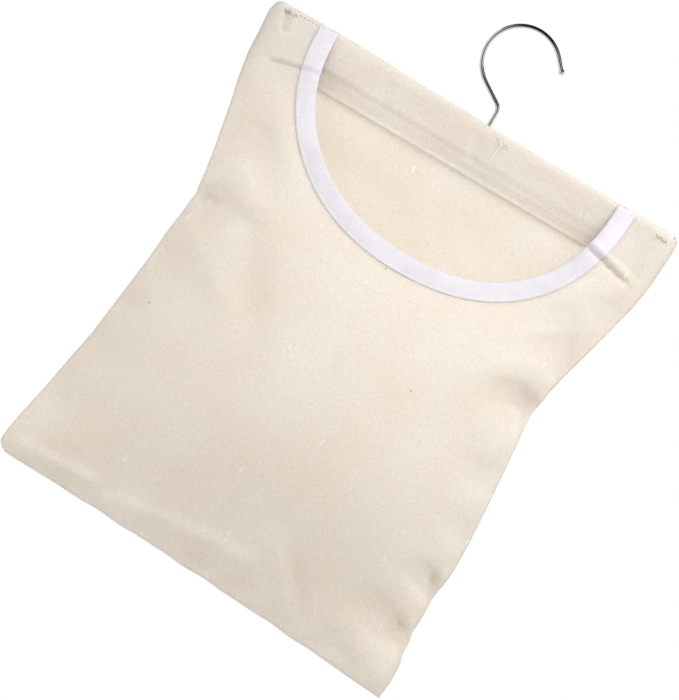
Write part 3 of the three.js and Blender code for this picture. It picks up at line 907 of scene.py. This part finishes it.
def hook_line():
    """Points (x, z) along the wire, from its head to its tip."""
    turn = math.pi / 2 - NECK_SLANT
    bend = NECK_RADIUS * math.tan(turn / 2)
    lean = np.array([-math.cos(NECK_SLANT), math.sin(NECK_SLANT)])
    corner = np.array([HOOK_OFFSET, NECK_RISE])
    angle = np.linspace(0, turn, BEND_POINTS)
    bend_centre = corner + [-NECK_RADIUS, -bend]
    arc = bend_centre + NECK_RADIUS * circle(angle)
    loop_start = corner + NECK_LENGTH * lean
    inward = np.array([lean[1], -lean[0]])
    centre = loop_start + LOOP_RADIUS * inward
    begin = math.atan2(-inward[1], -inward[0]) % (2 * math.pi)
    sweep = np.linspace(begin, TIP_ANGLE, LOOP_POINTS)
    loop = centre + LOOP_RADIUS * circle(sweep)
    out = np.array([math.sin(TIP_ANGLE), -math.cos(TIP_ANGLE)])
    tip = loop[-1] + np.linspace(0, TIP_LENGTH, TIP_POINTS)[1:, None] * out
    stem_rise = np.linspace(HEAD_TOP, corner[1] - bend, STEM_POINTS, endpoint=False)
    stem = np.stack([np.full(STEM_POINTS, HOOK_OFFSET), stem_rise], axis=1)
    return np.concatenate([stem, arc, loop, tip])


def tube(line, run, radii):
    """Points and faces of a round tube along points (x, z), with a direction and a radius at each."""
    angle = around(WIRE_SIDES)
    rings = []
    for (x, z), (run_x, run_z), radius in zip(line, run, radii):
        out = radius * np.cos(angle)
        rings.append(np.stack([x + out * run_z, radius * np.sin(angle), z - out * run_x], axis=1))
    return np.concatenate(rings), tube_faces(len(rings), WIRE_SIDES)


def turned(profile, base, axis):
    """A turned solid, from (distance from base along the axis, radius)."""
    distances, radii = np.array(profile).T
    return tube(base + distances[:, None] * axis, np.tile(axis, (len(profile), 1)), radii)


def make_hook(material):
    line = hook_line()
    run = unit(np.gradient(line, axis=0))
    wire = tube(line, run, np.full(len(line), WIRE / 2))
    turn = np.linspace(BALL_POLE, np.pi - BALL_POLE, BALL_RINGS)
    ball = BALL / 2 * circle(turn) * [-1, 1]
    parts = [wire, turned(ball, line[-1], run[-1]), turned(HEAD_PROFILE, line[0], run[0])]
    piece("hook_wire", *joined(parts), "hook", "hook_chrome", material, ["hook"])


# Materials


class Nodes:
    """A node tree: node() makes a node, sets its options and fills or links its inputs."""

    def __init__(self, tree):
        self.tree = tree

    def fill(self, node, inputs):
        for key, value in inputs.items():
            if isinstance(value, bpy.types.NodeSocket):
                self.tree.links.new(value, node.inputs[key])
            else:
                node.inputs[key].default_value = value
        return node

    def node(self, kind, inputs=None, **options):
        node = self.tree.nodes.new(kind)
        for key, value in options.items():
            setattr(node, key, value)
        return self.fill(node, inputs or {})

    def math(self, operation, first, second=0.0):
        return self.node("ShaderNodeMath", {0: first, 1: second}, operation=operation).outputs[0]


class Shader(Nodes):
    """The nodes of a new material."""

    def __init__(self, name):
        self.material = bpy.data.materials.new(name)
        self.material.use_nodes = True
        super().__init__(self.material.node_tree)
        self.surface = self.tree.nodes["Principled BSDF"]

    def place(self):
        return self.node("ShaderNodeTexCoord").outputs["Object"]

    def vector(self, operation, first, second):
        return self.node("ShaderNodeVectorMath", {0: first, 1: second}, operation=operation).outputs[0]

    def stretched(self, vector, scale):
        return self.vector("MULTIPLY", vector, scale)

    def shifted(self, vector, scale, reach):
        """A place moved to and fro by a noise, by up to reach."""
        noise = self.node("ShaderNodeTexNoise", {"Vector": vector, "Scale": scale, "Detail": 2.0})
        return self.vector("ADD", vector, self.stretched(noise.outputs["Color"], (reach, reach, 0)))

    def noise(self, vector, scale, detail=2.0, roughness=0.5):
        inputs = {"Vector": vector, "Scale": scale, "Detail": detail, "Roughness": roughness}
        return self.node("ShaderNodeTexNoise", inputs).outputs["Fac"]

    def streaks(self, vector, scale, detail=2.0, roughness=0.6):
        """Noise with its own scale along each axis."""
        return self.noise(self.stretched(vector, scale), 1.0, detail, roughness)

    def ramp(self, value, low, high, to_low=0.0, to_high=1.0):
        inputs = {"Value": value, "From Min": low, "From Max": high, "To Min": to_low, "To Max": to_high}
        return self.node("ShaderNodeMapRange", inputs).outputs[0]

    def near(self, value, middle, reach):
        """1 where a value is at the middle, falling to 0 at reach from it."""
        away = self.math("ABSOLUTE", self.math("SUBTRACT", value, middle))
        return self.ramp(away, 0.0, reach, 1.0, 0.0)

    def spots(self, vector, scale, channel, chosen, reach, core):
        """Scattered spots: 1 within core of the middle of a chosen cell, and 0 from reach on."""
        cells = self.node("ShaderNodeTexVoronoi", {"Vector": vector, "Scale": scale}, voronoi_dimensions="2D")
        draw = self.node("ShaderNodeSeparateColor", {0: cells.outputs["Color"]}).outputs[channel]
        drawn = self.ramp(draw, *chosen)
        return self.math("MULTIPLY", drawn, self.ramp(cells.outputs["Distance"], reach, core))

    def mix(self, share, first, second, blend="MIX"):
        node = self.node("ShaderNodeMix", data_type="RGBA", blend_type=blend)
        return self.fill(node, {0: share, 6: first, 7: second}).outputs[2]

    def mix_part(self, mask, part, first, second):
        """Mixes in the second colour where the mask is 1, up to a part of it."""
        return self.mix(self.math("MULTIPLY", mask, part), first, second)

    def shaded(self, colour, shade):
        """A colour made lighter or darker by a factor."""
        grey = self.node("ShaderNodeCombineColor", {0: shade, 1: shade, 2: shade}).outputs[0]
        return self.mix(1.0, colour, grey, "MULTIPLY")

    def pass_light(self, share, colour):
        """Mixes in a share of light that comes through the cloth."""
        through = self.node("ShaderNodeBsdfTranslucent", {"Color": colour})
        both = {0: share, 1: self.surface.outputs[0], 2: through.outputs[0]}
        mixed = self.node("ShaderNodeMixShader", both)
        self.tree.links.new(mixed.outputs[0], self.tree.nodes["Material Output"].inputs["Surface"])

    def finished(self, inputs):
        """The material, with these inputs of its surface."""
        self.fill(self.surface, inputs)
        return self.material

    def bump(self, height, distance):
        inputs = {"Height": height, "Distance": distance, "Strength": 1.0}
        return self.node("ShaderNodeBump", inputs).outputs[0]


def linear(red, green, blue):
    """An sRGB colour, 0 to 255, as the linear colour that a shader takes."""
    shares = [c / 255 for c in (red, green, blue)]
    return [c / 12.92 if c <= 0.04045 else ((c + 0.055) / 1.055) ** 2.4 for c in shares] + [1.0]


# Colours; in a pair, the second one shows in patches on the first
CALICO = linear(243, 239, 233)
CALICO_DEEP = linear(240, 234, 225)
SLUB = linear(250, 246, 239)
FLECK = linear(120, 92, 62)
NEP = linear(252, 250, 246)
BINDING = (linear(225, 221, 225), linear(215, 210, 216))
COTTON_THREAD = (linear(247, 244, 241), linear(232, 228, 224))
# The tack thread is darker than the cotton thread, with darker patches: painted shade for the shadows of its
# loops in the puckered cloth
TACK_THREAD_PAINTED_SHADE = (linear(206, 190, 172), linear(168, 148, 128))
CHROME = (linear(206, 207, 209), linear(190, 191, 194))
ZINC = (linear(186, 188, 191), linear(160, 162, 167))
WOOD = (linear(226, 201, 164), linear(196, 162, 118))
WOOD_PORES = linear(150, 112, 74)
FLOOR = (linear(240, 239, 237), linear(246, 245, 243))
CARD = linear(26, 26, 27)
WHITE = (1, 1, 1, 1)

# Weaves: scales per metre, and ramps as the range taken and, where it isn't 0 to 1, the range given
WEAVE_DEPTH = 0.5
WANDER_SCALE = 260.0
CALICO_THREAD = 0.00056
CALICO_WANDER = 0.0003
CALICO_RELIEF = 0.0001
CALICO_THROUGH = 0.5
BINDING_THREAD = 0.0005
BINDING_WANDER = 0.0002
BINDING_RELIEF = 0.00008
BINDING_THROUGH = 0.12
WEFT_SLUBS = (90, 560, 0)
WARP_SLUBS = (560, 80, 0)
WEFT_THICK = (0.6, 0.78)
WARP_THICK = (0.62, 0.8)
THIN = (0.42, 0.26)
SLUB_SHARE = 0.6
THIN_SHARE = 0.35
SLUB_HEIGHT = 1.2
WEFT_DASHES = (280, 900, 0)
WARP_DASHES = (900, 280, 0)
GRAIN_SCALE = 900.0
GRAIN_SHADE = (0.9, 2.1, 0.87, 1.11)
CLOUD_SCALE = 16.0
CLOUD = (0.3, 0.7)

# A line pressed across the cloth, broken here and there and darkened by painted shade, and the yarn's specks
# and white neps
PRESSED_PLACE = 0.1485
PRESSED_REACH = 0.0006
PRESSED_BREAK_SCALE = 45.0
PRESSED_BREAKS = (0.42, 0.56)
PRESSED_PAINTED_SHADE = (0.0, 1.0, 1.0, 0.96)
PRESSED_DEPTH = 2.5
SPECK_SCALE = 42.0
SPECK_CHOSEN = (0.955, 0.96)
SPECK_SIZE = (0.034, 0.018)
SPECK_SHARE = 0.75
WRIGGLE_SCALE = 420.0
WRIGGLE = 0.004
NEP_STRETCH = (1, 0.45, 0)
NEP_SCALE = 50.0
NEP_CHOSEN = (0.86, 0.87)
NEP_SIZE = (0.085, 0.05)
NEP_SHARE = 0.7
NEP_HEIGHT = 5.0

# The other materials
RIBS = (900, 120, 0)
RIB_SHADE = (0.25, 0.75, 0.96, 1.03)
TAPE_CLOUD_SCALE = 60.0
TAPE_CLOUD = (0.3, 0.75)
PLY_SCALE = 1100.0
PLY_DEPTH = 0.0001
FUZZ_SCALE = 1500.0
FUZZ = (0.3, 0.7)
DRAWN_SCALE = (350, 350, 350)
DRAWN_DEPTH = 0.000004
DRAWN_ROUGHNESS = (0.3, 0.8, 0.09, 0.17)
SMEAR_SCALE = 90.0
SMEAR = (0.35, 0.7)
SPANGLE_SCALE = 700.0
SPANGLE_DEPTH = 0.00003
SPANGLE = (0.35, 0.65)
SPANGLE_ROUGHNESS = (0.3, 0.7, 0.3, 0.45)
GRAIN_LINES = (9, 160, 160)
GRAIN_SHOWS = (0.35, 0.68)
PORE_LINES = (60, 1400, 1400)
PORES_SHOW = (0.62, 0.75, 0.0, 0.5)
WOOD_RELIEF = 0.00015
FLOOR_SCALE = 3.0


def woven(shader, thread, wander):
    """Plain weave: the place in the cut cloth, and the weave's height there."""
    cloth = shader.node("ShaderNodeUVMap", uv_map=PATTERN).outputs[0]
    pace = math.pi / thread
    threads = shader.stretched(shader.shifted(cloth, WANDER_SCALE, wander), (pace, pace, 0))
    parts = shader.node("ShaderNodeSeparateXYZ", {0: threads})
    warp = shader.math("SINE", parts.outputs[0])
    weft = shader.math("SINE", parts.outputs[1])
    return cloth, shader.math("MULTIPLY", shader.math("MULTIPLY", warp, weft), WEAVE_DEPTH)


def make_calico():
    shader = Shader("calico")
    cloth, weave = woven(shader, CALICO_THREAD, CALICO_WANDER)
    weft_slub = shader.streaks(cloth, WEFT_SLUBS, detail=3.0)
    warp_slub = shader.streaks(cloth, WARP_SLUBS, detail=3.0)
    dashes = shader.math("ADD", shader.streaks(cloth, WEFT_DASHES), shader.streaks(cloth, WARP_DASHES))
    grain = shader.math("ADD", dashes, shader.noise(cloth, GRAIN_SCALE, roughness=0.6))

    cloud = shader.noise(cloth, CLOUD_SCALE, detail=3.0, roughness=0.55)
    tone = shader.mix(shader.ramp(cloud, *CLOUD), CALICO, CALICO_DEEP)
    thick = shader.math("MAXIMUM", shader.ramp(weft_slub, *WEFT_THICK), shader.ramp(warp_slub, *WARP_THICK))
    tone = shader.mix_part(thick, SLUB_SHARE, tone, SLUB)
    thin = shader.math("MAXIMUM", shader.ramp(weft_slub, *THIN), shader.ramp(warp_slub, *THIN))
    tone = shader.mix_part(thin, THIN_SHARE, tone, CALICO_DEEP)

    down = shader.node("ShaderNodeSeparateXYZ", {0: cloth}).outputs[1]
    breaks = shader.ramp(shader.noise(cloth, PRESSED_BREAK_SCALE), *PRESSED_BREAKS)
    pressed = shader.math("MULTIPLY", shader.near(down, PRESSED_PLACE, PRESSED_REACH), breaks)
    # Painted shade: the cloth's colour is darkened along the pressed line
    pressed_painted_shade = shader.ramp(pressed, *PRESSED_PAINTED_SHADE)
    shade = shader.math("MULTIPLY", shader.ramp(grain, *GRAIN_SHADE), pressed_painted_shade)
    tone = shader.shaded(tone, shade)

    speck = shader.spots(cloth, SPECK_SCALE, 0, SPECK_CHOSEN, *SPECK_SIZE)
    tone = shader.mix_part(speck, SPECK_SHARE, tone, FLECK)
    wriggled = shader.stretched(shader.shifted(cloth, WRIGGLE_SCALE, WRIGGLE), NEP_STRETCH)
    nep = shader.spots(wriggled, NEP_SCALE, 1, NEP_CHOSEN, *NEP_SIZE)
    tone = shader.mix_part(nep, NEP_SHARE, tone, NEP)

    height = shader.math("ADD", weave, grain)
    slubs = shader.math("ADD", weft_slub, warp_slub)
    for relief, times in ((slubs, SLUB_HEIGHT), (nep, NEP_HEIGHT), (pressed, -PRESSED_DEPTH)):
        height = shader.math("ADD", height, shader.math("MULTIPLY", relief, times))
    shader.pass_light(CALICO_THROUGH, tone)
    return shader.finished({
        "Base Color": tone,
        "Roughness": 0.88,
        "Specular IOR Level": 0.2,
        "Sheen Weight": 0.12,
        "Sheen Roughness": 0.5,
        "Normal": shader.bump(height, CALICO_RELIEF),
    })


def make_binding():
    shader = Shader("binding_tape")
    cloth, weave = woven(shader, BINDING_THREAD, BINDING_WANDER)
    rib = shader.streaks(cloth, RIBS)
    cloud = shader.noise(cloth, TAPE_CLOUD_SCALE, detail=3.0, roughness=0.6)
    tone = shader.mix(shader.ramp(cloud, *TAPE_CLOUD), *BINDING)
    tone = shader.shaded(tone, shader.ramp(rib, *RIB_SHADE))
    shader.pass_light(BINDING_THROUGH, tone)
    return shader.finished({
        "Base Color": tone,
        "Roughness": 0.8,
        "Specular IOR Level": 0.25,
        "Sheen Weight": 0.1,
        "Normal": shader.bump(shader.math("ADD", weave, rib), BINDING_RELIEF),
    })


def make_thread(name, colours):
    shader = Shader(name)
    place_on = shader.place()
    wave_inputs = {"Vector": place_on, "Scale": PLY_SCALE, "Distortion": 1.5}
    ply = shader.node("ShaderNodeTexWave", wave_inputs, bands_direction="DIAGONAL").outputs["Fac"]
    fuzz = shader.noise(place_on, FUZZ_SCALE)
    return shader.finished({
        "Base Color": shader.mix(shader.ramp(fuzz, *FUZZ), *colours),
        "Roughness": 0.7,
        "Sheen Weight": 0.15,
        "Normal": shader.bump(ply, PLY_DEPTH),
    })


def make_chrome():
    shader = Shader("chrome")
    drawn = shader.streaks(shader.place(), DRAWN_SCALE, detail=3.0)
    smear = shader.noise(shader.place(), SMEAR_SCALE)
    return shader.finished({
        "Base Color": shader.mix(shader.ramp(smear, *SMEAR), *CHROME),
        "Metallic": 1.0,
        "Roughness": shader.ramp(drawn, *DRAWN_ROUGHNESS),
        "Normal": shader.bump(drawn, DRAWN_DEPTH),
    })


def make_zinc():
    shader = Shader("zinc")
    spangle = shader.noise(shader.place(), SPANGLE_SCALE, detail=3.0, roughness=0.6)
    return shader.finished({
        "Base Color": shader.mix(shader.ramp(spangle, *SPANGLE), *ZINC),
        "Metallic": 1.0,
        "Roughness": shader.ramp(spangle, *SPANGLE_ROUGHNESS),
        "Normal": shader.bump(spangle, SPANGLE_DEPTH),
    })


def make_wood():
    shader = Shader("bar_wood")
    grain = shader.streaks(shader.place(), GRAIN_LINES, detail=4.0)
    pores = shader.streaks(shader.place(), PORE_LINES, roughness=0.5)
    tone = shader.mix(shader.ramp(grain, *GRAIN_SHOWS), *WOOD)
    return shader.finished({
        "Base Color": shader.mix(shader.ramp(pores, *PORES_SHOW), tone, WOOD_PORES),
        "Roughness": 0.62,
        "Normal": shader.bump(shader.math("ADD", grain, pores), WOOD_RELIEF),
    })


def dress_node(name, material):
    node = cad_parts[name]
    node.data.materials.clear()
    node.data.materials.append(material)


# Studio and camera: places in bag millimetres, lamps' sizes in metres and powers in watts

PHOTO_WIDTH, PHOTO_HEIGHT = 679, 700
SENSOR = 36.0
CAMERA_DISTANCE = 4500.0
VIEW_MIDDLE = (-2.2, -191.2)
VIEW_HEIGHT = 499.0
BAG_TURN = math.radians(30.5)
HEADER_FRONT = -9.0
FLOOR_DROP = 900.0
FLOOR_RADIUS = 1300.0
FLOOR_SIDES = 96
WORLD_LIGHT = 0.62
LAMPS = [
    ("key", (500, -540, 550), (0, 0, -60), (1.8, 0.65), 12.3),
    ("fill", (-1200, -1200, 100), (0, 0, -120), (2.0, 2.0), 9.8),
    ("backdrop", (0, 1300, 200), (0, 0, -180), (1.6, 1.2), 14.0),
]
CARD_HALF = 390.0
CARD_NEAR = -900.0
CARD_FAR = 1400.0
CARD_TOP = 950.0
CARD_BOTTOM = -880.0
OVERHEAD_HALF = 1300.0


def make_camera():
    data = bpy.data.cameras.new("camera")
    data.sensor_width = SENSOR
    data.lens = SENSOR * CAMERA_DISTANCE / VIEW_HEIGHT * max(PHOTO_WIDTH, PHOTO_HEIGHT) / PHOTO_HEIGHT
    camera = add("camera", data)
    at = place([VIEW_MIDDLE[0], HEADER_FRONT - CAMERA_DISTANCE, VIEW_MIDDLE[1]])
    level = Matrix.Rotation(math.pi / 2, 4, "X")
    camera.matrix_world = Matrix.Translation(at) @ level @ Matrix.Rotation(BAG_TURN, 4, "Z")
    bpy.context.scene.camera = camera


def area_light(name, where, towards, size, power):
    data = bpy.data.lights.new(name, "AREA")
    data.shape = "RECTANGLE"
    data.size, data.size_y = size
    data.energy = power
    light = add(name, data)
    light.location = place(where)
    way = place(towards) - place(where)
    light.rotation_euler = Vector(way).to_track_quat("-Z", "Y").to_euler()
    light.visible_glossy = False


def make_world():
    """White where it is seen or mirrored, and an even soft light elsewhere."""
    world = bpy.data.worlds.new("studio")
    world.use_nodes = True
    bpy.context.scene.world = world
    nodes = Nodes(world.node_tree)
    nodes.tree.nodes.clear()
    path = nodes.node("ShaderNodeLightPath").outputs
    seen = nodes.math("MAXIMUM", path["Is Camera Ray"], path["Is Glossy Ray"])
    seen = nodes.math("MAXIMUM", seen, path["Is Transmission Ray"])
    light = nodes.node("ShaderNodeBackground", {"Color": WHITE, "Strength": WORLD_LIGHT})
    backdrop = nodes.node("ShaderNodeBackground", {"Color": WHITE, "Strength": 1.0})
    mix = nodes.node("ShaderNodeMixShader", {0: seen, 1: light.outputs[0], 2: backdrop.outputs[0]})
    nodes.node("ShaderNodeOutputWorld", {"Surface": mix.outputs[0]})


def stage_piece(name, points, material):
    """A flat piece of the studio with one face, from bag millimetres."""
    thing = add_mesh(name, points, [list(range(len(points)))], material)
    return thing


def make_floor():
    ring = [(x, y, -FLOOR_DROP) for x, y in FLOOR_RADIUS * circle(around(FLOOR_SIDES))]
    shader = Shader("floor")
    tone = shader.mix(shader.noise(shader.place(), FLOOR_SCALE, detail=3.0), *FLOOR)
    stage_piece("floor", ring, shader.finished({"Base Color": tone, "Roughness": 0.9}))


def dark_card(name, corners):
    """A dark card that only reflections see, so that bright metal has something to mirror."""
    card = stage_piece(name, corners, Shader(name).finished({"Base Color": CARD, "Roughness": 0.9}))
    card.visible_camera = False
    card.visible_diffuse = False
    card.visible_shadow = False
    card.visible_transmission = False


def corners_of(half, low, high):
    return [(-half, low), (half, low), (half, high), (-half, high)]


def make_cards():
    """Dark in front and overhead, so that the wire is dark where it runs level and bright where it stands."""
    dark_card("card_front", [(x, CARD_NEAR, z) for x, z in corners_of(CARD_HALF, CARD_BOTTOM, CARD_TOP)])
    dark_card("card_over", [(x, y, CARD_TOP) for x, y in corners_of(OVERHEAD_HALF, CARD_NEAR, CARD_FAR)])


def make_studio():
    bpy.context.scene.view_settings.view_transform = "Standard"
    make_camera()
    make_world()
    make_floor()
    make_cards()
    for lamp in LAMPS:
        area_light(*lamp)


make_studio()
calico = make_calico()
thread = make_thread("thread", COTTON_THREAD)
# The tacks' thread carries painted shade for the shadows of its loops in the puckered cloth
tack_thread_painted_shade = make_thread("tack_thread_painted_shade", TACK_THREAD_PAINTED_SHADE)
make_front(calico)
make_back(calico)
make_tape(make_binding())
make_stitching(thread)
make_loose_threads(thread)
for side_name, side_sign in SIDES:
    make_tack(side_name, side_sign, tack_thread_painted_shade)
make_hook(make_chrome())
dress_node("hanger_bar", make_wood())
dress_node("hook_washer", make_zinc())
